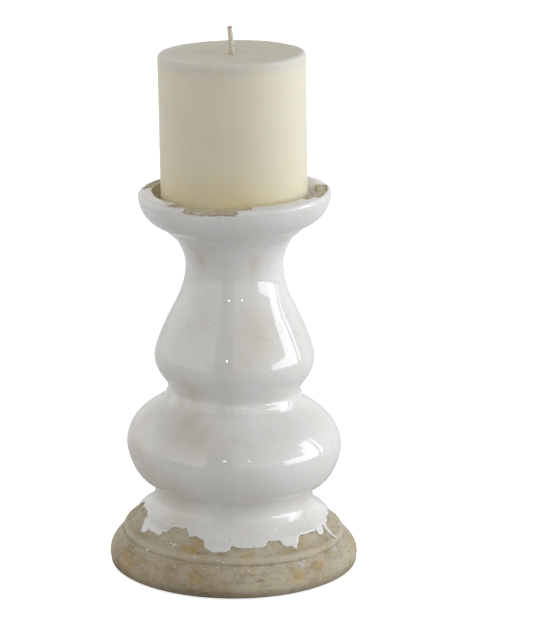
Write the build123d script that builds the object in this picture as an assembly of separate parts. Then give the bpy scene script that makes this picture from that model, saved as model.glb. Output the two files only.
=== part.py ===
"""Glazed earthenware pillar holder with its candle.

Units are millimetres. +Z is up and the origin is the middle of the footprint, on the surface that the felt
pads stand on. The holder is a hollow clay body of revolution about Z, in four stacked sections that meet at
its waist, its collar and its neck. A glaze coat is fused to it from the floor of the dish, over the rim and
down to the foot's upper ring. A pillar candle with its wick and wick clip stands loose in the dish and leans
a little.
"""

import os
from math import cos, radians, sin

from build123d import *

# ---- driving dimensions -------------------------------------------------------------------------------
pad_thickness = 1.0
pad_diameter = 12.0
pad_count = 4
pad_circle_radius = 55.0
pad_edge_round = 0.25

glaze_thickness = 0.7
wall_thickness = 6.5

# Radius and height of each feature of the finished outside, heights from the underside of the clay foot.
foot_edge = (65.3, 0.0)
foot_widest = (66.0, 3.4)
foot_shoulder = (64.0, 9.6)
foot_crease = (58.8, 16.2)
lip_round = (58.1, 18.0)
lip_top = (55.9, 19.3)
ring_slope = (54.1, 21.1)
glaze_line = (52.0, 24.0)

ring_edge = (51.4, 25.3)
flare_edge = (50.4, 26.3)
flare_middle = (45.2, 30.2)
waist = (42.1, 37.0)
bulb_low = (49.7, 46.5)
bulb_belly = (54.6, 54.0)
bulb_widest = (57.0, 63.8)
bulb_shoulder = (50.4, 78.8)
bulb_top = (36.6, 89.2)

collar_round = (35.9, 92.0)
collar_top = (34.7, 94.9)
vase_low = (39.2, 102.0)
vase_widest = (42.4, 111.0)
vase_upper = (40.4, 120.0)
vase_shoulder = (36.2, 130.5)
vase_top = (28.4, 147.2)
neck = (25.9, 159.6)
neck_flare = (26.8, 167.3)
throat = (30.8, 175.4)
dish_ridge = (36.9, 181.0)

dish_corner = (43.9, 185.3)
dish_wall = (48.4, 191.0)
rim_widest = (50.3, 197.3)
rim_crest = (45.4, 201.0)
rim_inner = (42.0, 200.2)
dish_foot = (40.2, 196.4)
dish_floor = (38.9, 195.8)

base_thickness = 8.0
base_recess_depth = 1.8
base_recess_radius = 46.0
vent_diameter = 3.5
vent_drill_length = 32.0  # passes right through the base and ends in the hollow

# Where the hollow leaves the line that is one wall thickness in from the outside.
foot_wall = 10.4
flare_drop = 5.0
throat_narrowing = 2.0
throat_rise = 1.0

candle_radius = 38.1
candle_height = 76.2
candle_lean = 1.2  # degrees, towards -X
candle_rim_round = 1.8
candle_chamfer = 0.8
candle_dip = 0.9
candle_dip_radius = 25.0
candle_allowance = 4.0  # extra length below the base, cut off flat once the candle leans
trim_block = 160.0  # wider than the candle

wick_radius = 1.35
wick_length_out = 14.4
wick_bend = 0.8
clip_radius = 9.0
clip_metal = 0.4
clip_neck_height = 5.0
clip_recess = 0.6
clip_pocket_gap = 0.3

floor_height = dish_floor[1]
inset_points = 12


# ---- the holder's outline -----------------------------------------------------------------------------
def bare_foot_line():
    """The bare clay of the foot, from its resting edge up to the end of the glaze."""
    edge = Line(foot_edge, foot_widest)
    bead = Spline(foot_widest, foot_shoulder, foot_crease, tangents=[(0, 1), (-0.5, 1)])
    lip = ThreePointArc(foot_crease, lip_round, lip_top)
    ring = ThreePointArc(lip_top, ring_slope, glaze_line)
    return [edge, bead, lip, ring]


def glazed_line():
    """The finished outside above the bare foot, up the stem and over the rim to the middle of the dish."""
    ring_round = ThreePointArc(glaze_line, ring_edge, flare_edge)
    flare = Spline(flare_edge, flare_middle, waist, tangents=[(-1, 0.6), (0, 1)])
    bulb_points = (bulb_low, bulb_belly, bulb_widest, bulb_shoulder)
    bulb = Spline(waist, *bulb_points, bulb_top, tangents=[(0, 1), (-1, 0.9)])
    collar = ThreePointArc(bulb_top, collar_round, collar_top)
    vase_points = (vase_low, vase_widest, vase_upper, vase_shoulder, vase_top)
    neck_points = (neck, neck_flare, throat)
    stem = Spline(collar_top, *vase_points, *neck_points, dish_ridge, tangents=[(0.35, 1), (1, 1)])
    under_dish = Spline(dish_ridge, dish_corner, dish_wall, rim_widest, tangents=[(1, 0.7), (0.15, 1)])
    rim = Spline(rim_widest, rim_crest, rim_inner, tangents=[(0.1, 1), (-0.55, -1)])
    wall = Line(rim_inner, dish_foot)
    floor_corner = Spline(dish_foot, dish_floor, tangents=[(-0.45, -1), (-1, 0)])
    floor = Line(dish_floor, (0, floor_height))
    return [ring_round, flare, bulb, collar, stem, under_dish, rim, wall, floor_corner, floor]


def inward(edge, place):
    """The unit normal at a place on a profile edge, pointing from the surface into the clay."""
    heading = edge % place
    return Vector(-heading.Y, heading.X)


def inset_line(edges, depth):
    """The same profile line moved into the clay by a depth, with its corners kept as corners."""
    shifts = [inward(edges[0], 0) * depth]
    for before, after in zip(edges, edges[1:]):
        first, second = inward(before, 1), inward(after, 0)
        middle = (first + second).normalized()
        shifts.append(middle * depth / middle.dot(first))
    shifts.append(inward(edges[-1], 1) * depth)
    inset = []
    for number, edge in enumerate(edges):
        start, end = edge @ 0 + shifts[number], edge @ 1 + shifts[number + 1]
        if edge.geom_type == GeomType.LINE:
            inset.append(Line(start, end))
        else:
            places = [i / inset_points for i in range(1, inset_points)]
            between = [edge @ place + inward(edge, place) * depth for place in places]
            inset.append(Spline(start, *between, end, tangents=[edge % 0, edge % 1]))
    return inset


def cavity_face():
    """Half the section of the hollow inside the holder, one wall thickness in from the outside."""

    def inner(point, up=0.0, wall=wall_thickness):
        return (point[0] - wall, point[1] + up)

    floor = (0, base_thickness)
    corner = (foot_crease[0] - foot_wall, base_thickness)
    roof = (0, floor_height - wall_thickness)
    foot = inner(flare_middle, up=-flare_drop)
    chambers = [inner(point) for point in (waist, bulb_widest, bulb_top, vase_widest, vase_top, neck)]
    throat_end = inner(dish_ridge, up=throat_rise, wall=wall_thickness + throat_narrowing)
    side = Spline(corner, foot, *chambers, throat_end, roof, tangents=[(-0.3, 1), (-1, 0)])
    return make_face([Line(floor, corner), side, Line(roof, floor)])


def turned(face):
    """The solid that a half section makes when it goes once round Z, standing on the pads."""
    return revolve(Plane.XZ * Pos(0, pad_thickness) * face, Axis.Z)


# ---- clay, glaze and pads -----------------------------------------------------------------------------
def glaze_and_clay():
    """The glaze coat, and the clay body whose surface it is fused to."""
    outer = glazed_line()
    inner = inset_line(outer, glaze_thickness)
    lower_lip = Line(outer[0] @ 0, inner[0] @ 0)
    middle_lip = Line(inner[-1] @ 1, outer[-1] @ 1)
    glaze = turned(make_face([*outer, middle_lip, *inner, lower_lip]))

    recess_corner = (base_recess_radius, base_recess_depth)
    underside = [
        Line(foot_edge, (base_recess_radius, 0)),
        Line((base_recess_radius, 0), recess_corner),
        Line(recess_corner, (0, base_recess_depth)),
    ]
    axis = Line((0, base_recess_depth), inner[-1] @ 1)
    section = make_face([*underside, axis, *inner, lower_lip, *bare_foot_line()])
    vent = Cylinder(vent_diameter / 2, vent_drill_length)
    clay = turned(section) - turned(cavity_face()) - vent
    return glaze, clay


def clay_sections(clay):
    """The clay body cut level at its waist, collar and neck, by node name."""
    names = ["foot_section", "lower_bulb_section", "upper_bulb_section", "dish_section"]
    cuts = [0, waist[1], bulb_top[1], neck[1], rim_crest[1]]
    sections = {}
    for name, low, high in zip(names, cuts, cuts[1:]):
        slab = Cylinder(2 * foot_widest[0], high - low, align=(Align.CENTER, Align.CENTER, Align.MIN))
        sections[name] = clay & Pos(0, 0, low + pad_thickness) * slab
    return sections


def felt_pads():
    """Felt dots stuck under the foot's resting ring, by node name."""
    dot = Cylinder(pad_diameter / 2, pad_thickness, align=(Align.CENTER, Align.CENTER, Align.MIN))
    dot = fillet(dot.edges().group_by(Axis.Z)[0], pad_edge_round)
    pads = {}
    for i in range(pad_count):
        angle = radians(360 / pad_count * (i + 0.5))
        place = Pos(pad_circle_radius * cos(angle), pad_circle_radius * sin(angle))
        pads[f"felt_pad_{i + 1}"] = place * dot
    return pads


# ---- the candle, in its own upright frame with its origin at the middle of its base --------------------
def wick_and_clip():
    """The wick from its clip to its bent tip, and the clip's disc and crimped neck."""
    start = (0, clip_recess + clip_metal)
    surface = (0, candle_height - candle_dip)
    tip = (-wick_bend, candle_height - candle_dip + wick_length_out)
    path = Plane.XZ * Wire([Line(start, surface), TangentArc(surface, tip, tangent=(0, 1))])
    wick = sweep(Plane(origin=(0, 0, start[1])) * Circle(wick_radius), path=path)
    disc = Pos(0, 0, clip_recess) * extrude(Circle(clip_radius), clip_metal)
    neck_ring = Circle(wick_radius + clip_metal) - Circle(wick_radius)
    crimp = Pos(0, 0, clip_recess + clip_metal) * extrude(neck_ring, clip_neck_height)
    return wick, disc + crimp


def candle_blank():
    """The pillar with its rounded rim, dished top and open pocket for the clip, left long at the base."""
    side = Line((candle_radius, -candle_allowance), (candle_radius, candle_height - candle_rim_round))
    rim_end = (candle_radius - candle_rim_round, candle_height)
    rim = RadiusArc(side @ 1, rim_end, -candle_rim_round)
    shelf = Line(rim_end, (candle_dip_radius, candle_height))
    dip = Spline(shelf @ 1, (0, candle_height - candle_dip), tangents=[(-1, 0), (-1, 0)])
    axis = Line(dip @ 1, (0, -candle_allowance))
    section = make_face([side, rim, shelf, dip, axis, Line(axis @ 1, side @ 0)])
    pocket = extrude(Circle(clip_radius + clip_pocket_gap), clip_recess + candle_allowance)
    return revolve(Plane.XZ * section, Axis.Z) - Pos(0, 0, -candle_allowance) * pocket


def candle():
    """The candle's three pieces, leaning and trimmed flat on the dish, by node name."""
    wick, clip = wick_and_clip()
    floor_plane = Pos(0, 0, floor_height + pad_thickness)
    seat = floor_plane * Rot(0, -candle_lean, 0)
    trim = Box(trim_block, trim_block, trim_block, align=(Align.CENTER, Align.CENTER, Align.MAX))
    wax = seat * (candle_blank() - wick - clip) - floor_plane * trim
    foot_edges = wax.edges().group_by(Axis.Z)[0].sort_by(SortBy.LENGTH)
    wax = chamfer(foot_edges[-1], candle_chamfer)
    return {"candle_wax": wax, "candle_wick": seat * wick, "wick_clip": seat * clip}


# ---- write every node ---------------------------------------------------------------------------------
def main():
    os.makedirs("parts", exist_ok=True)
    glaze, clay = glaze_and_clay()
    nodes = {**clay_sections(clay), "glaze_coat": glaze, **felt_pads(), **candle()}
    for name, shape in nodes.items():
        export_step(shape, f"parts/{name}.step")
        print(name, len(shape.solids()), round(shape.volume))


main()
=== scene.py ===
"""Looks of the glazed pillar holder and its candle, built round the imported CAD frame.

The shapes are worked out in millimetres. Their meshes are in metres, like the camera, floor and lights.
An angle is measured round the axis from the front (-Y) towards +X. The holder's surface is addressed by
that angle and by the run, the length along its outline from the foot's resting edge over the rim to the
middle of the dish.
"""

from math import atan, cos, pi, radians, sin

import bmesh
import bpy
import numpy as np
from mathutils import Euler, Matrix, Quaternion, Vector
from mathutils.geometry import delaunay_2d_cdt


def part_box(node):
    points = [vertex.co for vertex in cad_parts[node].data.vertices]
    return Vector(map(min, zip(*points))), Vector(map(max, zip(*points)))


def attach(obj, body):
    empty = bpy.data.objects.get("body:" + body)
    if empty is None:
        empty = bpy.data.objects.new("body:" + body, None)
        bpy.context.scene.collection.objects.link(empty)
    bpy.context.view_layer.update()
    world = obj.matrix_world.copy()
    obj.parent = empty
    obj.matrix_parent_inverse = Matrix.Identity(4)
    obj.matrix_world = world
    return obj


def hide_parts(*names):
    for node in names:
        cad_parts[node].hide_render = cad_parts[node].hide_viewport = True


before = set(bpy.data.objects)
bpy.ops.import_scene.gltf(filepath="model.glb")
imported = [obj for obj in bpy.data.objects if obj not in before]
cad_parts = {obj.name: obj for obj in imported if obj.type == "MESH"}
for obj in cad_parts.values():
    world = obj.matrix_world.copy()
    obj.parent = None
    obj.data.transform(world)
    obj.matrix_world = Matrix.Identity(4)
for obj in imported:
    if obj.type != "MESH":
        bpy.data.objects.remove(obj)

MM = 0.001
SCALE = 50.0  # millimetres to a radian round the body, about its usual radius
scene = bpy.context.scene
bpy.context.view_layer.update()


def node_box(node):
    """A CAD node's lowest and highest corner, in millimetres."""
    low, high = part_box(node)
    return low / MM, high / MM


# ---- node trees -----------------------------------------------------
class Tree:
    """A node tree, with short ways to add and link nodes."""

    def __init__(self, tree):
        self.tree = tree

    def add(self, kind, settings=None, **inputs):
        """A node with its settings and inputs; an input may be a value or another node's output.

        An input goes by its socket's name, or by _0, _1 and so on for the socket's place in the list.
        """
        node = self.tree.nodes.new(kind)
        for key, value in (settings or {}).items():
            setattr(node, key, value)
        for key, value in inputs.items():
            by_place = key[1:].isdigit()
            self.fill(node.inputs[int(key[1:]) if by_place else key.replace("_", " ")], value)
        return node

    def fill(self, socket, value):
        """Links another node's output to a socket, or sets the socket's own value."""
        if isinstance(value, bpy.types.NodeSocket):
            self.tree.links.new(value, socket)
        else:
            socket.default_value = value

    def math(self, operation, a, b=0.0):
        """A sum, product or other operation on one or two values."""
        return self.add("ShaderNodeMath", {"operation": operation}, _0=a, _1=b).outputs[0]

    def times(self, a, b):
        """The product of two values."""
        return self.math("MULTIPLY", a, b)

    def span(self, value, low, high, first=0.0, last=1.0):
        """A smooth step of a value between two levels."""
        node = self.add("ShaderNodeMapRange", {"interpolation_type": "SMOOTHSTEP"}, Value=value,
                        From_Min=low, From_Max=high, To_Min=first, To_Max=last)
        return node.outputs["Result"]


# ---- camera, floor and light ----------------------------------------
CAMERA_PLACE = (0.0, -1.4276, 0.5263)
CAMERA_LENS = 162.3  # millimetres
CAMERA_PITCH, CAMERA_YAW, CAMERA_ROLL = -15.345, -0.676, 0.25  # degrees
FLOOR_HALF_WIDTH = 6.0
LIT_PLACE = (0, 0, 0.14)  # the middle of the object, which every light faces
DAYLIGHT = (0.91, 0.96, 1.0)
WHITE = (1, 1, 1)


def add_camera():
    """A long lens from the front that looks down on the dish."""
    data = bpy.data.cameras.new("camera")
    data.sensor_width = 36.0
    data.lens = CAMERA_LENS
    data.clip_start = 0.05
    data.clip_end = 50.0
    camera = bpy.data.objects.new("camera", data)
    scene.collection.objects.link(camera)
    camera.location = CAMERA_PLACE
    camera.rotation_mode = "QUATERNION"
    aim = Euler((radians(90 + CAMERA_PITCH), 0.0, radians(CAMERA_YAW))).to_quaternion()
    camera.rotation_quaternion = aim @ Quaternion((0, 0, 1), radians(CAMERA_ROLL))
    scene.camera = camera


def room_in_front(made, x, y):
    """A doorway left of the middle and a pale wall left of that, as two fields: 1 inside and 0 outside.

    Both are told by a place's direction over the ground from the object.
    """
    sideways = made.math("DIVIDE", x, made.math("MAXIMUM", made.times(y, -1.0), 0.02))
    past_wall = made.span(sideways, -0.57, -0.55)
    doorway = made.times(past_wall, made.span(sideways, -0.03, 0.01, 1.0, 0.0))
    wall = made.times(made.math("SUBTRACT", 1.0, past_wall), made.span(y, -0.10, 0.0, 1.0, 0.0))
    return doorway, wall


def add_floor():
    """A wide pale floor: a bright sweep to the eye, and a grey table top to what reflects it, with
    painted shade and light on that table top.
    """
    mesh = bpy.data.meshes.new("floor")
    half = FLOOR_HALF_WIDTH
    corners = [(-half, -half, 0), (half, -half, 0), (half, half, 0), (-half, half, 0)]
    mesh.from_pydata(corners, [], [(0, 1, 2, 3)])
    floor = bpy.data.objects.new("floor", mesh)
    scene.collection.objects.link(floor)
    material = bpy.data.materials.new("floor_white")
    material.use_nodes = True
    made = Tree(material.node_tree)
    surface = material.node_tree.nodes["Principled BSDF"]
    surface.inputs["Base Color"].default_value = (0.92, 0.92, 0.92, 1)
    surface.inputs["Roughness"].default_value = 0.9
    surface.inputs["Specular IOR Level"].default_value = 0.1
    surface.inputs["Emission Color"].default_value = (1, 1, 1, 1)
    surface.inputs["Emission Strength"].default_value = 0.74
    spot = made.add("ShaderNodeTexCoord").outputs["Object"]
    x, y = made.add("ShaderNodeSeparateXYZ", _0=spot).outputs[:2]
    doorway, wall = room_in_front(made, x, y)
    # Painted shade and light, seen only in reflections and bounce light: the table top darker in the
    # doorway's direction and paler in the wall's.
    darker = made.span(doorway, 0.0, 1.0, 0.64, 0.22)
    paler = made.span(wall, 0.0, 1.0, 1.0, 1.15)
    table = made.add("ShaderNodeBsdfDiffuse", Color=made.times(darker, paler))
    sweep = made.add("ShaderNodeEmission", Strength=made.span(y, -0.02, 0.35, 0.0, 0.3))
    lit = made.add("ShaderNodeAddShader", _0=table.outputs[0], _1=sweep.outputs[0])
    seen = made.add("ShaderNodeLightPath").outputs["Is Camera Ray"]
    both = made.add("ShaderNodeMixShader", _0=seen, _1=lit.outputs[0], _2=surface.outputs[0])
    made.fill(material.node_tree.nodes["Material Output"].inputs["Surface"], both.outputs[0])
    mesh.materials.append(material)


def add_panel(name, azimuth, elevation, distance, width, height, radiance, colour=DAYLIGHT):
    """A soft rectangular light that faces the object; azimuth 0 is in front and 90 on the right."""
    data = bpy.data.lights.new(name, "AREA")
    data.shape = "RECTANGLE"
    data.size = width
    data.size_y = height
    data.energy = radiance * pi * width * height
    data.color = colour
    light = bpy.data.objects.new(name, data)
    scene.collection.objects.link(light)
    a, e = radians(azimuth), radians(elevation)
    away = Vector((sin(a) * cos(e), -cos(a) * cos(e), sin(e)))
    light.location = Vector(LIT_PLACE) + away * distance
    light.rotation_mode = "QUATERNION"
    light.rotation_quaternion = away.to_track_quat("Z", "Y")
    light.visible_camera = False


def add_world():
    """A pale room, dimmer overhead, with a dark doorway in front; the camera sees it plain white."""
    world = bpy.data.worlds.new("room")
    scene.world = world
    world.use_nodes = True
    world.node_tree.nodes.clear()
    made = Tree(world.node_tree)
    heading = made.add("ShaderNodeTexCoord").outputs["Generated"]
    x, y, z = made.add("ShaderNodeSeparateXYZ", _0=heading).outputs
    level = made.span(y, -0.4, 0.9, 1.0, 0.92)
    level = made.times(level, made.span(z, 0.35, 0.92, 1.0, 0.30))
    doorway, wall = room_in_front(made, x, y)
    doorway = made.times(doorway, made.span(z, 0.80, 0.83, 1.0, 0.0))
    wall = made.times(wall, made.span(z, 0.18, 0.20, 1.0, 0.0))
    level = made.times(level, made.span(doorway, 0.0, 1.0, 1.0, 0.2))
    level = made.times(level, made.span(wall, 0.0, 1.0, 1.0, 1.2))
    room = made.add("ShaderNodeBackground", Color=(1.0, 0.99, 0.97, 1), Strength=level)
    plain = made.add("ShaderNodeBackground", Strength=1.0)
    seen = made.add("ShaderNodeLightPath").outputs["Is Camera Ray"]
    both = made.add("ShaderNodeMixShader", _0=seen, _1=room.outputs[0], _2=plain.outputs[0])
    made.add("ShaderNodeOutputWorld", Surface=both.outputs[0])


add_camera()
add_floor()
add_world()
# A window on the right that narrows upwards, with a thin side light; a soft fill on the left; two lamps.
add_panel("window_top", azimuth=95, elevation=29, distance=2.2, width=0.50, height=0.36, radiance=3.95)
add_panel("window_middle", azimuth=91, elevation=18, distance=2.2, width=0.70, height=0.50, radiance=3.95)
add_panel("window_foot", azimuth=78, elevation=5.5, distance=2.2, width=1.87, height=0.52, radiance=3.95)
add_panel("window_side", azimuth=107, elevation=15, distance=2.2, width=0.16, height=1.25, radiance=3.2)
add_panel("left_fill", azimuth=-118, elevation=14, distance=2.4, width=1.7, height=1.5, radiance=0.24)
for lamp, azimuth, radiance in (("lamp_left", -10, 170), ("lamp_right", 17, 80)):
    add_panel(lamp, azimuth, 21, distance=2.4, width=0.05, height=0.03, radiance=radiance, colour=WHITE)
scene.view_settings.view_transform = "Standard"


# ---- small tools ----------------------------------------------------
SAME_PLACE, NO_LENGTH = 2e-7, 1e-8


def waves(seed, count, slowest, fastest, fade):
    """An uneven field over (angle, run) that closes on itself round the axis, about 1 at its largest.

    Its waves have from slowest to fastest turns round the axis, and their size falls as turns ** -fade.
    """
    rng = np.random.default_rng(seed)
    turns = np.exp(rng.uniform(np.log(slowest), np.log(fastest), count)).round()
    along = rng.normal(0, 1, count) * turns / SCALE
    phase = rng.uniform(0, 2 * pi, count)
    size = turns ** -fade
    usual_peak = 2.2
    size = size / np.sqrt((size ** 2).sum() / 2) / usual_peak

    def field(angle, run):
        angle, run = np.broadcast_arrays(np.asarray(angle, float), np.asarray(run, float))
        total = np.zeros(angle.shape)
        for n, m, p, a in zip(turns, along, phase, size):
            total += a * np.cos(n * angle + m * run + p)
        return total

    return field


def smooth(value, low, high):
    """A smooth step from 0 at low to 1 at high."""
    t = np.clip((value - low) / (high - low), 0, 1)
    return t * t * (3 - 2 * t)


def graded(low, high, pitch_at):
    """Places from low to high whose spacing follows pitch_at(place)."""
    places = [low]
    while places[-1] + pitch_at(places[-1]) < high:
        places.append(places[-1] + pitch_at(places[-1]))
    places[-1] = high
    return np.array(places)


def make_object(name, points, faces, attributes=None):
    """A smooth-shaded mesh object from millimetre points, with doubles merged and normals outward.

    Each attribute is a value for every point, under the name that a material reads it by.
    """
    mesh = bpy.data.meshes.new(name)
    mesh.from_pydata((np.asarray(points) * MM).tolist(), [], [list(map(int, f)) for f in faces])
    for key, values in (attributes or {}).items():
        layer = mesh.attributes.new(key, "FLOAT", "POINT")
        layer.data.foreach_set("value", np.asarray(values, dtype=np.float32))
    work = bmesh.new()
    work.from_mesh(mesh)
    bmesh.ops.remove_doubles(work, verts=work.verts, dist=SAME_PLACE)
    bmesh.ops.dissolve_degenerate(work, edges=work.edges, dist=NO_LENGTH)
    bmesh.ops.recalc_face_normals(work, faces=work.faces)
    work.to_mesh(mesh)
    work.free()
    mesh.polygons.foreach_set("use_smooth", [True] * len(mesh.polygons))
    piece = bpy.data.objects.new(name, mesh)
    scene.collection.objects.link(piece)
    return piece


def grid_faces(rows, columns, closed_rows=False):
    """Quads of a grid whose columns close on themselves, and whose rows may too."""
    faces = []
    for i in range(rows if closed_rows else rows - 1):
        a, b = i * columns, (i + 1) % rows * columns
        for j in range(columns):
            k = (j + 1) % columns
            faces.append((a + j, a + k, b + k, b + j))
    return faces


# ---- the holder's outline, read from the CAD nodes ------------------
ON_PLANE = 1e-3
FINE_STEP = 0.1
WOBBLE_SIZE, THROWING_SIZE = 0.22, 0.05
TWIST = 1.2  # degrees


def section_links(node):
    """A CAD node's outline on the half plane y = 0, x > 0: each (radius, height) with its neighbours."""
    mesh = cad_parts[node].data
    on_section = {}
    for vertex in mesh.vertices:
        x, y, z = vertex.co / MM
        if abs(y) < ON_PLANE and x > -ON_PLANE:
            on_section[vertex.index] = (round(max(x, 0), 3), round(z, 3))
    neighbours = {}
    for edge in mesh.edges:
        a, b = on_section.get(edge.vertices[0]), on_section.get(edge.vertices[1])
        if a is not None and b is not None and a != b:
            neighbours.setdefault(a, set()).add(b)
            neighbours.setdefault(b, set()).add(a)
    return neighbours


def walk(neighbours, start, second, stop):
    """The points from start through second along a section, up to the first that stop() accepts."""
    path = [start, second]
    while not stop(path[-1]):
        onward = [p for p in neighbours[path[-1]] if p not in path[-2:]]
        path.append(onward[0])
    return path


def outer_outline():
    """The finished outside from the foot's resting edge to the middle of the dish's flat floor."""
    glaze = section_links("glaze_coat")
    floor_height = node_box("candle_wax")[0].z
    floor_edge = min((p for p in glaze if abs(p[1] - floor_height) < 0.02), key=lambda p: p[0])
    second = max(glaze[floor_edge], key=lambda p: p[1])
    lowest = min(glaze, key=lambda p: p[1])
    glazed = walk(glaze, floor_edge, second, lambda p: p == lowest)[:-1][::-1]
    foot = section_links("foot_section")
    bottom = min(p[1] for p in foot)
    edge = max((p for p in foot if p[1] < bottom + 0.01), key=lambda p: p[0])
    second = max(foot[edge], key=lambda p: p[1])
    join = min(foot, key=lambda p: abs(p[0] - glazed[0][0]) + abs(p[1] - glazed[0][1]))
    bare = walk(foot, edge, second, lambda p: p == join)
    return np.array(bare[:-1] + glazed + [(0.0, glazed[-1][1])])


outline = outer_outline()
glaze_thickness = node_box("glaze_coat")[1].z - node_box("dish_section")[1].z
run_at = np.concatenate([[0], np.cumsum(np.hypot(*np.diff(outline, axis=0).T))])
fine_run = np.arange(0, run_at[-1], FINE_STEP)
kernel = np.hanning(11) / np.hanning(11).sum()


def softened(values):
    """A profile coordinate averaged over about half a millimetre, so that facets and corners soften."""
    reach = len(kernel) // 2
    before = 2 * values[0] - values[reach:0:-1]
    after = 2 * values[-1] - values[-2:-2 - reach:-1]
    return np.convolve(np.concatenate([before, values, after]), kernel, mode="valid")


fine_radius = softened(np.interp(fine_run, run_at, outline[:, 0]))
fine_height = softened(np.interp(fine_run, run_at, outline[:, 1]))
slope_r, slope_z = np.gradient(fine_radius, FINE_STEP), np.gradient(fine_height, FINE_STEP)
slope = np.hypot(slope_r, slope_z)
full_run = fine_run[-1]
crest_run = fine_run[np.argmax(fine_height)]
foot_height = node_box("foot_section")[0].z
waist_height = node_box("foot_section")[1].z
collar_height = node_box("lower_bulb_section")[1].z
dish_height = fine_height[-1]


def run_of_height(height):
    """The run at which the lower outside first reaches a height."""
    return fine_run[np.argmax(fine_height >= height)]


glaze_line_run = run_of_height(node_box("glaze_coat")[0].z)
wobble = waves(11, 26, 1, 9, 0.9)
throwing = waves(12, 30, 1, 4, 0.2)


def tilt_of(height):
    """How far the ring at a height slopes down to the right, in degrees: the body is a little twisted."""
    return np.interp(height, [3, 17, collar_height + 5, dish_height - 12], [0, TWIST, TWIST, -TWIST])


def place(angle, run, lift):
    """Points of the holder at an angle and a run, lifted off the finished surface by lift."""
    angle, run, lift = np.broadcast_arrays(angle, run, lift)
    normal_r = np.interp(run, fine_run, slope_z / slope)
    normal_z = np.interp(run, fine_run, -slope_r / slope)
    in_dish = smooth(run, crest_run + 2, crest_run + 7)
    uneven = WOBBLE_SIZE * (wobble(angle, run) - 1) + THROWING_SIZE * throwing(0, run * 9)
    uneven = uneven * (1 - in_dish)
    uneven = uneven * smooth(run, 0, 3)
    radius = np.interp(run, fine_run, fine_radius) + normal_r * (lift + uneven)
    height = np.interp(run, fine_run, fine_height) + normal_z * (lift + uneven)
    x = radius * np.sin(angle)
    height = height - x * np.tan(np.radians(tilt_of(height))) * (1 - in_dish)
    return np.stack([x, -radius * np.cos(angle), height], axis=-1)


# ---- where the glaze is ---------------------------------------------
FOOT_REACH, RIM_REACH = 54, 46  # radius of the body at the glaze's lower edge and at the rim
FAR = 99.0
# Tongues of glaze below its mean lower edge: first and last degree from the front, and reach in mm.
# A negative reach is a bay where the edge stands higher.
MEAN_EDGE = 24.9
TONGUES = [
    (-97, -68, -2.9), (-67, -58, 4.2), (-60, -46, 2.7), (-43.5, -28, -3.2), (-28, -18, -1.4),
    (-17.7, -1.5, 4.3), (-3, 20, 2.2), (27.5, 41, 3.3), (33, 39, 4.9), (57, 65, 3.3),
    (66.5, 70.5, 7.6), (75, 96, -1.2), (98, 106, 3.0), (115, 127, 4.0), (134, 147, -1.9), (152, 163, 2.4),
    (169, 177, 3.3), (-176, -166, -1.5), (-157, -144, 4.4), (-138, -124, -1.4), (-113, -104, 2.4),
]
# Specks of glaze on the bare clay: degrees, height above the foot's underside, radius.
FLECKS = [
    (-44, 22.4, 0.7), (-40, 22.2, 1.0), (-37.5, 21.3, 0.9), (-35, 21.0, 1.1), (-32, 21.2, 0.6),
    (-92, 22.4, 1.0), (-20.5, 18.0, 0.75), (-8, 17.6, 0.5), (-5.5, 16.8, 0.6), (-50, 15.6, 0.7),
    (52, 20.4, 0.7), (88, 19.5, 0.8), (133, 21.2, 0.9), (-137, 20.9, 1.0), (-128, 19.2, 0.6),
]
# Chips round the rim: first and last degree, first and last run from the crest, depth of the broken clay.
CHIPS = [
    (-44, -28, -4.0, 2.6, 0.25), (-32, 1, -8.2, 3.4, 0.35), (-3, 11, -3.8, 2.6, 0.2),
    (53, 74, -2.6, 3.4, 0.2), (63, 98, -4.2, 3.8, 0.2), (-120, -84, 1.8, 8.0, 0.25),
    (-131, -96, -4.0, 1.0, 0.25), (138, 152, -1.4, 2.2, 0.3), (176, 184, -2.6, 1.8, 0.3),
]
FOOT_BAND = (run_of_height(foot_height + 13), run_of_height(foot_height + 32))
RIM_BAND = (crest_run - 9, crest_run + 12)
frayed = waves(21, 80, 14, 420, 0.42)
nibbled = waves(22, 70, 12, 240, 0.5)
grained = waves(23, 80, 30, 420, 0.35)


def off_middle(degrees, first, last):
    """How far an angle lies from the middle of a span, in half spans: 1 at either end."""
    middle, half = (first + last) / 2, (last - first) / 2
    return np.abs((degrees - middle + 180) % 360 - 180) / half


def chip_distance(angle, run):
    """How far each place lies outside the nearest chip, and how deep the clay is broken there."""
    degrees = np.degrees(angle)
    ragged = 0.75 * nibbled(angle, run * 1.6)
    beyond = np.full(ragged.shape, FAR)
    broken = np.zeros(ragged.shape)
    for first, last, low, high, depth in CHIPS:
        half = (last - first) / 2
        across = (off_middle(degrees, first, last) - 1) * half * radians(1) * RIM_REACH
        along = np.maximum(crest_run + low - run, run - crest_run - high)
        away = np.hypot(np.maximum(across, 0), np.maximum(along, 0))
        outside = away + np.minimum(np.maximum(across, along), 0) + ragged
        beyond = np.minimum(beyond, outside)
        broken = np.maximum(broken, depth * smooth(-outside, 0, 1.6))
    return beyond, broken


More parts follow.
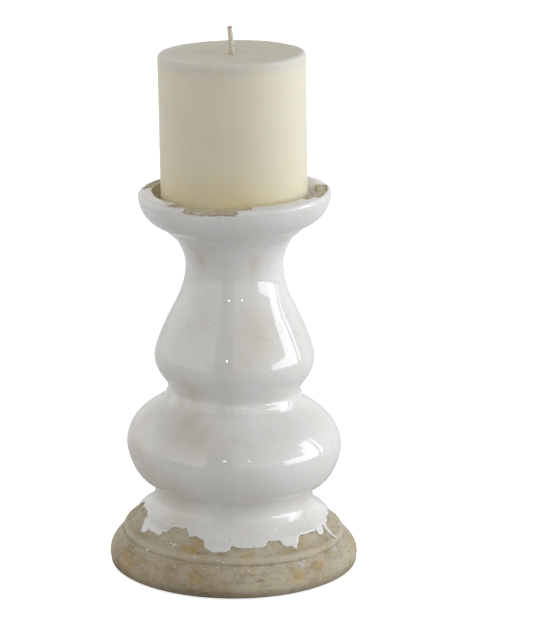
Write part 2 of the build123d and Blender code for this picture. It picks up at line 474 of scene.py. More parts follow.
def glaze_cover(angle, run):
    """Distance into the glaze from its edge, in millimetres; negative where the clay is bare."""
    fray = frayed(angle, run)
    degrees = np.degrees(angle)
    height = np.interp(run, fine_run, fine_height) - foot_height
    tongue, bay = 0.0, 0.0
    for first, last, reach in TONGUES:
        blunt = max(2.0, (last - first) / 4)
        shape = np.sqrt(np.clip(1 - off_middle(degrees, first, last) ** blunt, 0, 1))
        tongue, bay = np.maximum(tongue, reach * shape), np.minimum(bay, reach * shape)
    edge = MEAN_EDGE + 0.55 * fray - tongue - bay
    slant = 0.75  # how much height the ring gains for each millimetre of run
    cover = np.where(run < FOOT_BAND[1], (height - edge) / slant, FAR)
    for fleck_degrees, fleck_height, radius in FLECKS:
        across = (angle - radians(fleck_degrees)) * FOOT_REACH
        along = run - run_of_height(fleck_height + foot_height)
        cover = np.maximum(cover, radius * (1 + 0.5 * fray) - np.hypot(across, along))
    return np.minimum(cover, chip_distance(angle, run)[0])


def true_cover(angle, run):
    """glaze_cover with steep flanks corrected, so that it measures the distance to the edge all round."""
    step = 0.15
    across = glaze_cover(angle + step / SCALE, run) - glaze_cover(angle - step / SCALE, run)
    along = glaze_cover(angle, run + step) - glaze_cover(angle, run - step)
    return glaze_cover(angle, run) / np.maximum(np.hypot(across, along) / (2 * step), 1.0)


def clay_lift(run):
    """The clay's sound surface below the finished surface: level with it on the bare foot."""
    return -glaze_thickness * smooth(run, glaze_line_run - 7, glaze_line_run + 3)


def glaze_lift(run, cover):
    """The glaze's outer surface: a rounded edge and a slight bead at the foot, a fracture at the rim."""
    at_foot = run < FOOT_BAND[1]
    edge_width = np.where(at_foot, 0.9, 0.25)
    rise = np.sqrt(1 - (1 - np.clip(cover / edge_width, 0, 1)) ** 2)
    full = np.where(at_foot, np.maximum(-clay_lift(run), 0.5), -clay_lift(run))
    bead = 0.16 * np.exp(-((cover - 1.3) / 0.8) ** 2) * at_foot
    return clay_lift(run) + rise * (full + bead)


# How strongly each run lies in a crease, from 0 to 1: where painted shade goes into the glaze's colour.
turn = np.gradient(np.unwrap(np.arctan2(slope_z, slope_r)), FINE_STEP)
sharpest = 0.35
spreading = np.hanning(41) / np.hanning(41).sum()
inward = np.pad(np.clip(-turn, 0, sharpest) / sharpest, len(spreading) // 2, "edge")
hollow = np.convolve(inward, spreading, "valid")


def spotted(spots, angle, height, reach):
    """How strongly each place lies in one of the spots, from 0 to 1, on a body about reach in radius.

    A spot is its degrees from the front, its height above the foot's underside and its size.
    """
    inside = np.zeros(np.broadcast(angle, height).shape)
    for degrees, spot_height, size in spots:
        across = ((angle - radians(degrees) + pi) % (2 * pi) - pi) * reach
        inside = np.maximum(inside, np.exp(-(across ** 2 + (height - spot_height) ** 2) / size ** 2))
    return inside


# ---- the glaze's mesh -----------------------------------------------
# It is laid out flat, with SCALE millimetres to a radian along u and the run along v.
HALF_TURN = SCALE * pi
BARELY, FINE_REACH = 0.3, 3.0  # the cover between which the outer face is finely divided
WELL_INSIDE, EVERYWHERE = 9.0, 1e3
EDGE_COLUMNS, EDGE_PITCH = 901, 0.34


# Tea-coloured stains under the glaze.
TEA = [
    (-58, 50, 15), (-66, 64, 12), (-42, 44, 12), (-34, 85, 9), (-22, 80, 7), (-72, 76, 9), (-50, 92, 6),
    (-36, 99, 8), (19, 131, 13), (6, 118, 8), (-40, 168, 7), (24, 166, 7), (58, 44, 8),
    (112, 60, 12), (150, 86, 9), (-142, 55, 10), (174, 120, 12), (-110, 150, 9), (-92, 190, 6),
    (70, 186, 6),
]


def edge_line(band):
    """The glaze's edge inside a band of runs, as points and the segments between them."""
    u = np.linspace(-HALF_TURN, HALF_TURN, EDGE_COLUMNS)
    v = np.linspace(*band, int((band[1] - band[0]) / EDGE_PITCH))
    value = glaze_cover(u[None, :] / SCALE, v[:, None])
    least = 1e-4
    value = np.where(np.abs(value) < least, least, value)
    value[:, -1] = value[:, 0]
    inside = value > 0
    points, segments, known = [], [], {}

    def crossing(a, b):
        """The number of the edge's point between two grid places, made when it is first met."""
        key = (min(a, b), max(a, b))
        if key not in known:
            a, b = key
            share = np.clip(value[a] / (value[a] - value[b]), 0.12, 0.88)
            known[key] = len(points)
            across = u[a[1]] + share * (u[b[1]] - u[a[1]])
            points.append((across, v[a[0]] + share * (v[b[0]] - v[a[0]])))
        return known[key]

    corners = inside[:-1, :-1].astype(int) + inside[1:, :-1] + inside[:-1, 1:] + inside[1:, 1:]
    for i, j in np.argwhere((corners > 0) & (corners < 4)):
        ring = [(i, j), (i, j + 1), (i + 1, j + 1), (i + 1, j)]
        cuts = [crossing(a, b) for a, b in zip(ring, ring[1:] + ring[:1]) if inside[a] != inside[b]]
        segments.extend(zip(cuts[::2], cuts[1::2]))
    return points, segments


def lattice(low, high, pitch, least, most):
    """Staggered points between two runs whose cover lies from least to most; those at the seam match."""
    row_gap = pitch * 0.87
    rows = np.linspace(low, high, max(2, int((high - low) / row_gap)))
    count = int(2 * HALF_TURN / pitch)
    points = []
    for number, v in enumerate(rows):
        shift = 0.5 if number % 2 else 0.25
        inner = -HALF_TURN + (np.arange(count) + shift) * 2 * HALF_TURN / count
        points.extend((u, v) for u in (-HALF_TURN, *inner, HALF_TURN))
    u, v = np.array(points).T
    cover = true_cover(u / SCALE, v)
    cover[np.abs(u) == HALF_TURN] = true_cover(-pi, v[np.abs(u) == HALF_TURN])
    chosen = (cover > least) & (cover <= most)
    return list(zip(u[chosen], v[chosen]))


def spread(edge_points, edge_segments, fill):
    """Triangles over the glazed area between its edge line and the fill points, as (u, v) and faces.

    The edge line parts the triangles into patches, and a patch is kept if its largest triangle is glazed.
    """
    flat = [Vector(p) for p in edge_points + fill]
    places, edges, faces, _, sources, _ = delaunay_2d_cdt(flat, edge_segments, [], 0, 1e-5, True)
    walls = {tuple(sorted(edge)) for edge, source in zip(edges, sources) if source}
    uv = np.array([tuple(p) for p in places])
    faces = np.array(faces)
    beside = {}
    for number, face in enumerate(faces):
        for a, b in zip(face, np.roll(face, -1)):
            key = (min(a, b), max(a, b))
            if key not in walls:
                beside.setdefault(key, []).append(number)
    leader = list(range(len(faces)))

    def lead(n):
        """The triangle that stands for the patch of triangle n."""
        while leader[n] != n:
            leader[n] = leader[leader[n]]
            n = leader[n]
        return n

    for pair in beside.values():
        if len(pair) == 2:
            leader[lead(pair[0])] = lead(pair[1])
    a, b, c = (uv[faces[:, k]] for k in range(3))
    area = np.abs(np.cross(b - a, c - a))
    middle = (a + b + c) / 3
    cover = glaze_cover(middle[:, 0] / SCALE, middle[:, 1])
    largest = {}
    for number in np.argsort(area):
        largest[lead(number)] = number
    kept = [n for n in range(len(faces)) if cover[largest[lead(n)]] > 0]
    return uv, faces[kept]


def build_glaze():
    """The glaze as a closed coat: a fine outer and a coarse inner face that share their ragged edge."""
    points, segments = [], []
    for band in (FOOT_BAND, RIM_BAND):
        band_points, band_segments = edge_line(band)
        segments.extend((a + len(points), b + len(points)) for a, b in band_segments)
        points.extend(band_points)
    whole = (FOOT_BAND[0], full_run)
    fine = [p for band in (FOOT_BAND, RIM_BAND) for p in lattice(*band, 0.5, BARELY, FINE_REACH)]
    outer_uv, outer_faces = spread(points, segments, fine + lattice(*whole, 1.9, FINE_REACH, EVERYWHERE))
    inner_uv, inner_faces = spread(points, segments, lattice(*whole, 3.2, 1.0, EVERYWHERE))
    on_edge = {(round(u, 3), round(v, 3)) for u, v in points}
    outer_cover = true_cover(outer_uv[:, 0] / SCALE, outer_uv[:, 1])
    for number, (u, v) in enumerate(outer_uv):
        if (round(u, 3), round(v, 3)) in on_edge:
            outer_cover[number] = 0
    outer_cover = np.maximum(outer_cover, 0)
    angle, run = outer_uv[:, 0] / SCALE, outer_uv[:, 1]
    height = np.interp(run, fine_run, fine_height) - foot_height
    pitted = 0.05 * smooth(waves(31, 60, 10, 90, 0.2)(angle, run), 0.75, 1.1)
    outer = place(angle, run, glaze_lift(run, outer_cover) - pitted * smooth(outer_cover, 1, 3))
    inner_angle, inner_run = inner_uv[:, 0] / SCALE, inner_uv[:, 1]
    inner = place(inner_angle, inner_run, clay_lift(inner_run))
    faces = [tuple(f) for f in outer_faces] + [tuple(f + len(outer)) for f in inner_faces]
    fields = {
        "cover": np.concatenate([outer_cover, np.full(len(inner), WELL_INSIDE)]),
        # How far each point lies in a crease, for the painted shade there.
        "crease_shade": np.interp(np.concatenate([run, inner_run]), fine_run, hollow),
        "tea": np.concatenate([spotted(TEA, angle, height, SCALE), np.zeros(len(inner))]),
    }
    coat = make_object("glaze", np.vstack([outer, inner]), faces, fields)
    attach(coat, "holder")
    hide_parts("glaze_coat")
    return coat


# ---- the clay body's mesh -------------------------------------------
COLUMNS = 420
FOOT_RADIUS = 57
# Rusty stains on the bare foot: degrees, height above the foot's underside, size.
OCHRE = [
    (-24, 21.5, 5.0), (-19, 11.0, 4.5), (8, 18.5, 4.0), (30, 8.0, 4.0), (46, 12.5, 3.0), (-60, 9.0, 5.0),
    (86, 6.0, 4.0), (122, 14.0, 5.0), (163, 8.0, 4.5), (-152, 17.0, 4.5), (-118, 7.0, 4.0),
]


def clay_rows():
    """The runs of the clay's rows, close together where it shows."""
    def pitch(run):
        """The distance from the row at a run to the next."""
        if run < glaze_line_run + 6:
            return 0.62
        if RIM_BAND[0] < run < RIM_BAND[1]:
            return 0.6
        return 3.0

    return graded(0, full_run, pitch)


def underside():
    """The clay's line from the foot's resting edge through recess and vent to the chamber's middle."""
    links = section_links("foot_section")
    bottom = min(p[1] for p in links)
    edge = max((p for p in links if p[1] < bottom + 0.01), key=lambda p: p[0])
    second = min(links[edge], key=lambda p: p[1] + abs(p[0] - edge[0]) * 1e-4)
    line = walk(links, edge, second, lambda p: p[1] > waist_height - 0.01)
    return np.array(line[1:] + [(0.0, line[-1][1])])


def build_clay():
    """The fired body, bare on the foot and in the chips of the rim."""
    run = clay_rows()[::-1]
    angle = np.linspace(-pi, pi, COLUMNS, endpoint=False)
    beyond, broken = chip_distance(angle[None, :], run[:, None])
    broken = broken * ((run > RIM_BAND[0]) & (run < RIM_BAND[1]))[:, None]
    bare = smooth(-run, -FOOT_BAND[1], -glaze_line_run)[:, None] + (broken > 0)
    grain = 0.05 * grained(angle[None, :], run[:, None] * 1.3) - 0.05
    pits = 0.22 * smooth(waves(41, 90, 20, 160, 0.1)(angle[None, :], run[:, None]), 0.62, 1.0)
    lift = clay_lift(run)[:, None] - broken * (1 + 0.35 * grained(angle[None, :], run[:, None]))
    lift = lift + (grain - pits) * np.minimum(bare, 1) * smooth(run, 0, 2)[:, None]
    outside = place(angle[None, :], run[:, None], lift)
    below = underside()
    below_radius, below_height = below[:, 0, None], below[:, 1, None] + 0 * angle
    inside = [below_radius * np.sin(angle), -below_radius * np.cos(angle), below_height]
    inside = np.stack(inside, axis=-1)
    points = np.vstack([outside.reshape(-1, 3), inside.reshape(-1, 3)])
    rows = len(run) + len(below)
    height = np.interp(run, fine_run, fine_height)[:, None] - foot_height
    ochre = spotted(OCHRE, angle, height, FOOT_RADIUS)
    none_below = np.zeros(len(below) * COLUMNS)
    fields = {
        "ochre": np.concatenate([ochre.ravel(), none_below]),
        "run": np.concatenate([np.repeat(run, COLUMNS), none_below]),
        "broken": np.concatenate([broken.ravel(), none_below]),
    }
    body = make_object("clay_body", points, grid_faces(rows, COLUMNS), fields)
    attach(body, "holder")
    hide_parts("foot_section", "lower_bulb_section", "upper_bulb_section", "dish_section")
    return body


# ---- felt pads ------------------------------------------------------
def build_pad(number):
    """One felt dot with a soft, furry edge; its line is in shares of its radius and thickness."""
    node = f"felt_pad_{number}"
    low, high = node_box(node)
    centre = (low + high) / 2
    radius, thickness = (high.x - low.x) / 2, high.z - low.z
    count = 72
    angle = np.linspace(-pi, pi, count, endpoint=False)
    rng = np.random.default_rng(60 + number)
    lower_half = [(0, 0), (0.45, 0), (0.8, 0.01), (0.93, 0.06), (0.985, 0.25), (1, 0.5)]
    line = lower_half + [(0.985, 0.75), (0.94, 0.95), (0.8, 1), (0.45, 1), (0, 1)]
    points = []
    for share, level in line:
        reach = radius * share * (1 - 0.018 * rng.random(count) * (share > 0.9))
        x, y = centre.x + reach * np.sin(angle), centre.y - reach * np.cos(angle)
        points.append(np.stack([x, y, np.full(count, low.z + thickness * level)], axis=-1))
    pad = make_object(f"pad_{number}", np.vstack(points), grid_faces(len(line), count))
    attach(pad, "holder")
    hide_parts(node)
    return pad


# ---- candle ---------------------------------------------------------
RIM_ROUND = 1.8
DIP_RADIUS, DIP_DEPTH = 27.0, 0.9
SCAR_DEPTH = 0.3
BASE, SIDE, RIM, TOP = 0, 1, 2, 3  # the parts of the wax's outline
wax_low, wax_high = node_box("candle_wax")
wick_low, wick_high = node_box("candle_wick")
clip_radius = node_box("wick_clip")[1].x
wax_radius = (wax_high.y - wax_low.y) / 2
lean = -atan((wax_radius + wax_low.x) / (wax_high.z - wax_low.z - RIM_ROUND))
wax_length = wax_high.z - wax_low.z - (wax_radius - RIM_ROUND) * sin(lean)


def leaned(points):
    """Points of an upright candle on the origin, tipped to -X on a base that stays flat on the dish."""
    x, y, z = np.moveaxis(np.asarray(points, float), -1, 0)
    settled = np.clip(z / 6, 0, 1)
    tipped = x * cos(lean) - z * sin(lean)
    risen = z * cos(lean) + x * sin(lean) * settled
    return np.stack([tipped, y, wax_low.z + risen], axis=-1)


def wax_line():
    """The candle's half section, from the clip pocket's top round to the wick, and each point's part."""
    pocket, depth = clip_radius + 0.4, 0.5
    line = [(0, depth, BASE), (pocket - 1, depth, BASE), (pocket, depth, BASE), (pocket, 0, BASE)]
    line += [(r, 0, BASE) for r in np.linspace(pocket + 3, wax_radius - 1.2, 8)]
    line += [(wax_radius - 0.7, 0.05, BASE), (wax_radius - 0.2, 0.35, SIDE)]
    line += [(wax_radius, z, SIDE) for z in graded(0.9, wax_length - RIM_ROUND, lambda z: 1.3)]
    for step in range(1, 8):
        a = pi / 2 * step / 7
        line.append((wax_radius - RIM_ROUND * (1 - cos(a)), wax_length - RIM_ROUND * (1 - sin(a)), RIM))
    for r in graded(2.6, wax_radius - RIM_ROUND - 0.4, lambda r: 0.9)[::-1]:
        line.append((r, wax_length - DIP_DEPTH * (1 - smooth(r, 4, DIP_RADIUS)), TOP))
    for r in (2.2, 1.9, 1.6, 1.35, 1.1, 0):
        line.append((r, wax_length - DIP_DEPTH + 0.55 * (1 - smooth(r, 1.1, 2.6)), TOP))
    return np.array(line, float)


def build_wax():
    """The pillar: a slightly uneven turned skin, a worn rim and a shallow melt scar round the wick."""
    line = wax_line()
    count = 256
    angle = np.linspace(-pi, pi, count, endpoint=False)
    radius, height, part = line[:, 0, None], line[:, 1, None], line[:, 2, None]
    uneven = waves(51, 24, 1, 7, 0.6)(angle, height)
    dents = waves(52, 60, 10, 60, 0.4)(angle, height * 2)
    fine = waves(53, 60, 3, 26, 0.3)(angle, radius * 3)
    skin = (0.10 * (uneven - 1) + 0.03 * (dents - 1)) * smooth(height, 1, 6) * (radius > 30)
    nicks = smooth(waves(54, 40, 4, 60, 0.5)(angle, 0 * height), 0.1, 0.9)
    worn = -0.35 * nicks * np.exp(-((part - RIM) / 0.4) ** 2)
    sideways, back = np.sin(angle) * radius, -np.cos(angle) * radius
    scar = np.exp(-((sideways + 8) / 15) ** 2 - ((back - 1) / 5) ** 2)
    relief = 0.05 * (fine - 1) * smooth(radius, 2, 6) - SCAR_DEPTH * scar
    z = height + 0 * angle + np.where(part == TOP, relief, 0) + worn * 0.7
    r = radius + skin + worn
    x, y = r * np.sin(angle), -r * np.cos(angle)
    upright = np.stack([x, y, z], axis=-1).reshape(-1, 3)
    fields = {"height": upright[:, 2], "scar": np.where(part == TOP, scar, 0 * angle).ravel()}
    wax = make_object("pillar_wax", leaned(upright), grid_faces(len(line), count), fields)
    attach(wax, "candle")
    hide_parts("candle_wax")
    return wax


def build_wick():
    """A flat-braided wick: a plaited relief along its length, and a tip snipped on the slant."""
    radius = (wick_high.y - wick_low.y) / 2
    start = wick_low.z - wax_low.z
    end = (wick_high.z - wax_low.z) / cos(lean)
    surface = wax_length - DIP_DEPTH
    bend = -wick_low.x - radius - end * sin(lean)
    count = 28
    angle = np.linspace(-pi, pi, count, endpoint=False)
    level = graded(start, end, lambda z: 2.0 if z < surface - 3 else 0.3)[:, None]
    plait = np.cos(angle + 2 * pi * level / 3.4) * np.cos(angle - 2 * pi * level / 3.4)
    strand = waves(71, 40, 3, 14, 0.2)(angle, level * 9)
    around = radius - 0.04 + 0.04 * plait - 0.015 * np.abs(strand)
    sway = -bend * np.clip((level - surface) / (end - surface), 0, 1) ** 2
    slant = 0.35 * np.sin(angle) * smooth(level, end - 1.2, end)
    x, y = around * np.sin(angle) + sway, -around * np.cos(angle)
    z = level - 0.4 * smooth(level, end - 1.2, end) + slant
    rows = [np.stack([x, y, z], axis=-1).reshape(-1, 3)]
    for share, rise in ((0.72, 0.06), (0.4, 0.08), (0, 0.05)):
        cap_x = x[-1] * share + sway[-1] * (1 - share)
        cap_z = z[-1] * share + z[-1].mean() * (1 - share) + rise
        rows.append(np.stack([cap_x, y[-1] * share, cap_z], axis=-1))
    first = np.stack([0 * angle, 0 * angle, 0 * angle + start], axis=-1)
    points = np.vstack([first, *rows])
    plaited = np.concatenate([np.zeros(count), plait.ravel(), np.ones(3 * count)])
    wick = make_object("braided_wick", leaned(points), grid_faces(len(level) + 4, count),
                       {"plait": plaited, "height": points[:, 2] - surface})
    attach(wick, "candle")
    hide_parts("candle_wick")
    return wick


# ---- materials ------------------------------------------------------
class Finish(Tree):
    """A Principled material, with short ways to add the nodes that pattern it."""

    def __init__(self, name, **fixed):
        self.material = bpy.data.materials.new(name)
        self.material.use_nodes = True
        super().__init__(self.material.node_tree)
        self.surface = self.tree.nodes["Principled BSDF"]
        for key, value in fixed.items():
            self.surface.inputs[key.replace("_", " ")].default_value = value
        self.place = self.add("ShaderNodeTexCoord").outputs["Object"]

    def set(self, **inputs):
        """Sets or links the material's own inputs."""
        for key, value in inputs.items():
            self.fill(self.surface.inputs[key.replace("_", " ")], value)

    def vector(self, operation, a, b=(0, 0, 0), **inputs):
        """An operation on one or two vectors."""
        node = self.add("ShaderNodeVectorMath", {"operation": operation}, _0=a, _1=b, **inputs)
        return node.outputs["Value" if operation == "LENGTH" else "Vector"]

    def noise(self, size, detail=4.0, roughness=0.55, place=None):
        """Soft clouds about size millimetres across, from 0 to 1."""
        node = self.add("ShaderNodeTexNoise", Vector=place or self.place, Scale=1000 / size,
                        Detail=detail, Roughness=roughness)
        return node.outputs["Fac"]

    def field(self, name):
        """A mesh attribute's value."""
        return self.add("ShaderNodeAttribute", {"attribute_name": name}).outputs["Fac"]

    def blend(self, share, first, second):
        """A share of the second colour over the first."""
        node = self.add("ShaderNodeMix", {"data_type": "RGBA"})
        for socket, value in ((0, share), (6, first), (7, second)):
            self.fill(node.inputs[socket], value)
        return node.outputs[2]

    def bump(self, height, depth, under=None):
        """A bump whose height of 1 stands depth millimetres proud."""
        node = self.add("ShaderNodeBump", Height=height, Distance=depth * MM, Strength=1.0)
        if under is not None:
            self.fill(node.inputs["Normal"], under)
        return node.outputs["Normal"]

    def warped(self, size, amount):
        """The object's coordinates pushed about by clouds of a size."""
        cloud = self.add("ShaderNodeTexNoise", Vector=self.place, Scale=1000 / size, Detail=2.0)
        centred = self.vector("SUBTRACT", cloud.outputs["Color"], (0.5, 0.5, 0.5))
        return self.vector("ADD", self.place, self.vector("SCALE", centred, Scale=amount * MM))

    def cracks(self, size, width, warp):
        """Thin lines between cells about size millimetres across: 1 on a line, 0 off it."""
        edges = {"feature": "DISTANCE_TO_EDGE"}
        cells = self.add("ShaderNodeTexVoronoi", edges, Vector=warp, Scale=1000 / size)
        return self.span(cells.outputs["Distance"], 0.0, width / size, 1.0, 0.0)

    def band(self, value, centre, near, far, most):
        """A band of values round a centre: most as far as near from it, and nothing from far on."""
        off_centre = self.math("ABSOLUTE", self.math("SUBTRACT", value, centre))
        return self.span(off_centre, near, far, most, 0.0)


def glaze_finish():
    """A glossy, crazed off-white glaze that thins to beige at its edge, with painted shade in its
    creases.
    """
    made = Finish("white_crackle_glaze", IOR=1.64, Subsurface_Weight=0.1, Subsurface_Scale=0.002)
    made.surface.inputs["Subsurface Radius"].default_value = (1.0, 0.9, 0.75)
    clouds = made.noise(42, 3)
    patches = made.noise(19, 4, 0.6)
    specks = made.noise(1.6, 3, 0.6)
    colour = made.blend(made.span(clouds, 0.35, 0.68), (0.84, 0.83, 0.82, 1), (0.79, 0.775, 0.755, 1))
    tea = made.times(made.field("tea"), made.span(patches, 0.32, 0.52, 0.4, 1.0))
    colour = made.blend(made.times(tea, 0.62), colour, (0.66, 0.60, 0.48, 1))
    beige = made.times(made.span(patches, 0.46, 0.72), 0.5)
    colour = made.blend(beige, colour, (0.755, 0.72, 0.66, 1))
    # Painted shade: a darker beige in the creases where the body turns inward, broken up by the clouds.
    creased = made.span(made.field("crease_shade"), 0.15, 0.9)
    painted_crease_shade = made.times(creased, made.span(clouds, 0.25, 0.6, 0.1, 0.5))
    colour = made.blend(painted_crease_shade, colour, (0.69, 0.63, 0.53, 1))
    warp = made.warped(7, 2.0)
    large = made.cracks(8.5, 0.17, warp)
    small = made.cracks(3.4, 0.13, warp)
    patchy = made.span(made.noise(24, 2), 0.42, 0.62)
    lines = made.math("MAXIMUM", made.times(large, 0.14), made.times(made.times(small, 0.24), patchy))
    colour = made.blend(lines, colour, (0.42, 0.39, 0.33, 1))
    thin = made.span(made.field("cover"), 0.0, 1.1, 0.5, 0.0)
    colour = made.blend(thin, colour, (0.70, 0.63, 0.50, 1))
    pinholes = made.add("ShaderNodeTexVoronoi", {"feature": "F1"}, Vector=warp, Scale=1000 / 13)
    dots = made.span(pinholes.outputs["Distance"], 0.012, 0.03, 1.0, 0.0)
    holes = made.times(dots, made.span(made.noise(30, 2), 0.5, 0.6))
    colour = made.blend(holes, colour, (0.30, 0.26, 0.19, 1))
    made.set(Base_Color=colour, Roughness=made.span(patches, 0.3, 0.7, 0.03, 0.08))
    ripple = made.bump(made.noise(26, 2), 0.09)
    relief = made.math("SUBTRACT", specks, made.math("ADD", lines, holes))
    made.set(Normal=made.bump(relief, 0.0015, ripple))
    return made.material


def clay_finish():
    """Matte tan earthenware: sandy grain, ochre and brown stains, grey bloom and a pale limy residue."""
    made = Finish("bare_earthenware", Specular_IOR_Level=0.4)
    run = made.field("run")
    streaked = made.add("ShaderNodeMapping", Vector=made.warped(14, 5), Scale=(1, 1, 2.2)).outputs[0]
    broad = made.noise(24, 3)
    stain = made.noise(9, 6, 0.7, streaked)
    grain = made.noise(1.1, 4, 0.7)
    sand = made.noise(0.5, 2, 0.6)
    colour = made.blend(made.span(broad, 0.35, 0.66), (0.40, 0.315, 0.185, 1), (0.54, 0.475, 0.35, 1))
    colour = made.blend(made.span(stain, 0.54, 0.70, 0.0, 0.65), colour, (0.44, 0.295, 0.10, 1))
    ochre = made.times(made.field("ochre"), made.span(stain, 0.40, 0.56, 0.1, 1.0))
    colour = made.blend(made.times(ochre, 0.8), colour, (0.50, 0.32, 0.09, 1))
    brown = made.noise(6.5, 7, 0.76, streaked)
    colour = made.blend(made.span(brown, 0.50, 0.66, 0.0, 0.75), colour, (0.235, 0.175, 0.10, 1))
    bloom = made.times(made.span(made.noise(7, 7, 0.78, streaked), 0.47, 0.60), 0.5)
    colour = made.blend(bloom, colour, (0.53, 0.50, 0.44, 1))
    crease = run_of_height(foot_height + 13.6)
    limy = made.span(made.noise(3.4, 5, 0.7), 0.52, 0.64)
    residue = made.times(made.band(run, crease, 0.6, 2.6, 1.0), limy)
    colour = made.blend(made.times(residue, 0.7), colour, (0.64, 0.64, 0.66, 1))
    # Painted shade: a dark line in the groove under the lip, broken up by the brown clouds.
    groove = made.band(run, crease + 2.6, 0.1, 1.1, 0.6)
    groove_shade = made.times(groove, made.span(brown, 0.35, 0.6, 0.3, 1.0))
    colour = made.blend(groove_shade, colour, (0.20, 0.15, 0.08, 1))
    # A paler band along the raised lip, mottled by the broad clouds.
    lip = made.band(run, crease + 5.0, 0.6, 3.2, 0.8)
    paler_lip = made.times(lip, made.span(broad, 0.3, 0.6, 0.5, 1.0))
    colour = made.blend(paler_lip, colour, (0.58, 0.52, 0.40, 1))
    # Painted shade: darker along the lowest 5 mm of the foot, where it meets the floor.
    bottom_shade = made.span(run, 0.0, 5.0, 0.7, 0.0)
    colour = made.blend(bottom_shade, colour, (0.20, 0.165, 0.11, 1))
    fleck = made.span(grain, 0.60, 0.72, 0.0, 0.5)
    colour = made.blend(fleck, colour, (0.18, 0.13, 0.08, 1))
    colour = made.blend(made.span(sand, 0.62, 0.75, 0.0, 0.4), colour, (0.60, 0.55, 0.45, 1))
    broken = made.span(made.field("broken"), 0.02, 0.2, 0.0, 0.85)
    fresh = made.blend(made.span(brown, 0.4, 0.62), (0.66, 0.61, 0.49, 1), (0.54, 0.47, 0.33, 1))
    colour = made.blend(broken, colour, fresh)
    made.set(Base_Color=colour, Roughness=made.span(stain, 0.3, 0.7, 0.8, 0.55))
    coarse = made.bump(made.noise(4.5, 5, 0.65), 0.35)
    made.set(Normal=made.bump(made.math("ADD", grain, made.times(sand, 0.5)), 0.16, coarse))
    return made.material


def wax_finish():
    """Ivory wax: milky and translucent, with painted warm shade low down, a faint bloom and hand marks.
    """
    made = Finish("ivory_candle_wax", IOR=1.44, Subsurface_Weight=0.75, Subsurface_Scale=0.006,
                  Specular_IOR_Level=0.4)
    made.surface.inputs["Subsurface Radius"].default_value = (1.0, 0.78, 0.52)
    height = made.field("height")
    clouds = made.noise(30, 3)
    sideways = made.add("ShaderNodeSeparateXYZ", _0=made.place).outputs[0]
    # Painted shade: warmer and darker low down, where the dish shades the wax, and less of it on the
    # right, where the window lights it.
    low_down = made.span(height, 0.0, 32.0, 1.0, 0.0)
    warm_base_shade = made.times(low_down, made.span(sideways, 0.0, 0.037, 1.0, 0.35))
    colour = made.blend(warm_base_shade, (0.82, 0.775, 0.635, 1), (0.81, 0.715, 0.46, 1))
    colour = made.blend(made.span(height, wax_length - 9, wax_length - 1), colour, (0.71, 0.70, 0.655, 1))
    off_axis = made.vector("LENGTH", made.vector("MULTIPLY", made.place, (1, 1, 0)))
    well_inside = made.span(off_axis, (wax_radius - 7) * MM, (wax_radius - 2) * MM, 0.75, 0.0)
    near_top = made.span(height, wax_length - 2.5, wax_length - 1.5)
    colour = made.blend(made.times(well_inside, near_top), colour, (0.64, 0.60, 0.45, 1))
    colour = made.blend(made.span(clouds, 0.4, 0.7, 0.0, 0.4), colour, (0.77, 0.71, 0.55, 1))
    mottle = made.noise(3.2, 4, 0.6)
    colour = made.blend(made.span(mottle, 0.55, 0.75, 0.0, 0.35), colour, (0.86, 0.82, 0.70, 1))
    colour = made.blend(made.span(made.field("scar"), 0.1, 0.9, 0.0, 0.6), colour, (0.62, 0.56, 0.38, 1))
    made.set(Base_Color=colour, Roughness=made.span(mottle, 0.3, 0.7, 0.50, 0.34))
    soft = made.bump(made.noise(12, 3), 0.25)
    made.set(Normal=made.bump(made.noise(1.1, 4, 0.6), 0.018, soft))
    return made.material


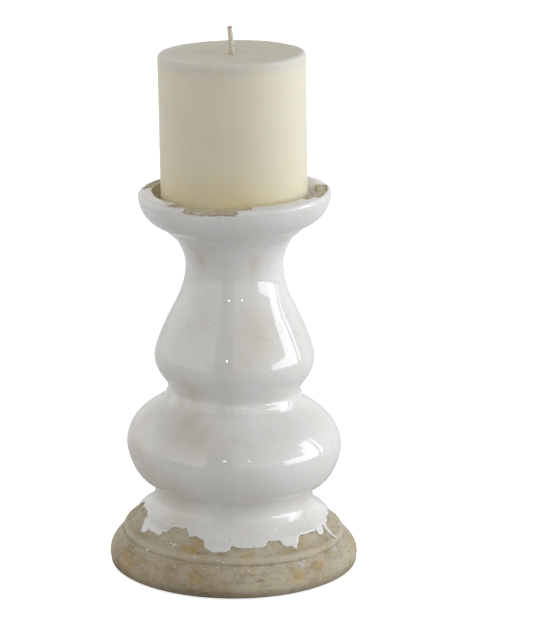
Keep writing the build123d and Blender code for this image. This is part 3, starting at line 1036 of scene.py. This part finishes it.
def wick_finish():
    """Waxed cotton: cream strands with shaded valleys and a darker snipped tip."""
    made = Finish("waxed_cotton", Subsurface_Weight=0.2, Subsurface_Scale=0.001)
    height = made.field("height")
    raised = made.span(made.field("plait"), -0.7, 0.6)
    colour = made.blend(raised, (0.60, 0.55, 0.44, 1), (0.72, 0.68, 0.57, 1))
    top = (wick_high.z - wax_low.z) / cos(lean) - wax_length + DIP_DEPTH
    colour = made.blend(made.span(height, top - 1.6, top - 0.2, 0.0, 0.6), colour, (0.22, 0.18, 0.12, 1))
    colour = made.blend(made.span(made.noise(2.4, 3), 0.55, 0.7, 0.0, 0.5), colour, (0.34, 0.29, 0.19, 1))
    fibres = made.noise(0.25, 3, 0.7)
    made.set(Base_Color=colour, Roughness=made.span(fibres, 0.3, 0.7, 0.65, 0.85))
    made.set(Normal=made.bump(fibres, 0.06))
    return made.material


def felt_finish():
    """Off-white wool felt: matted fibres with grey and brown lint."""
    made = Finish("wool_felt", Sheen_Weight=0.4, Sheen_Roughness=0.5)
    fibres = made.noise(0.5, 6, 0.75, made.warped(2.0, 1.5))
    colour = made.blend(made.span(fibres, 0.3, 0.7), (0.30, 0.27, 0.22, 1), (0.58, 0.54, 0.46, 1))
    colour = made.blend(made.span(made.noise(3, 4), 0.55, 0.7, 0.0, 0.6), colour, (0.24, 0.21, 0.17, 1))
    made.set(Base_Color=colour, Roughness=made.span(fibres, 0.2, 0.8, 0.98, 0.88))
    made.set(Normal=made.bump(fibres, 0.12))
    return made.material


def clip_finish():
    """Thin tinned steel: fine rolling marks and spangle."""
    made = Finish("tinned_steel", Metallic=1.0)
    stretch = made.add("ShaderNodeMapping", Vector=made.place, Scale=(1, 26, 1)).outputs[0]
    rolled = made.noise(4, 4, 0.6, stretch)
    spangle = made.noise(2.2, 2)
    colour = made.blend(made.span(spangle, 0.4, 0.6), (0.58, 0.58, 0.57, 1), (0.70, 0.70, 0.68, 1))
    made.set(Base_Color=colour, Roughness=made.span(rolled, 0.3, 0.7, 0.24, 0.42))
    made.set(Normal=made.bump(rolled, 0.01))
    return made.material


glaze_material, clay_material = glaze_finish(), clay_finish()
felt_material = felt_finish()
build_glaze().data.materials.append(glaze_material)
build_clay().data.materials.append(clay_material)
for pad_number in range(1, 5):
    build_pad(pad_number).data.materials.append(felt_material)
build_wax().data.materials.append(wax_finish())
build_wick().data.materials.append(wick_finish())
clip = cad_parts["wick_clip"]
clip.data.materials.clear()
clip.data.materials.append(clip_finish())
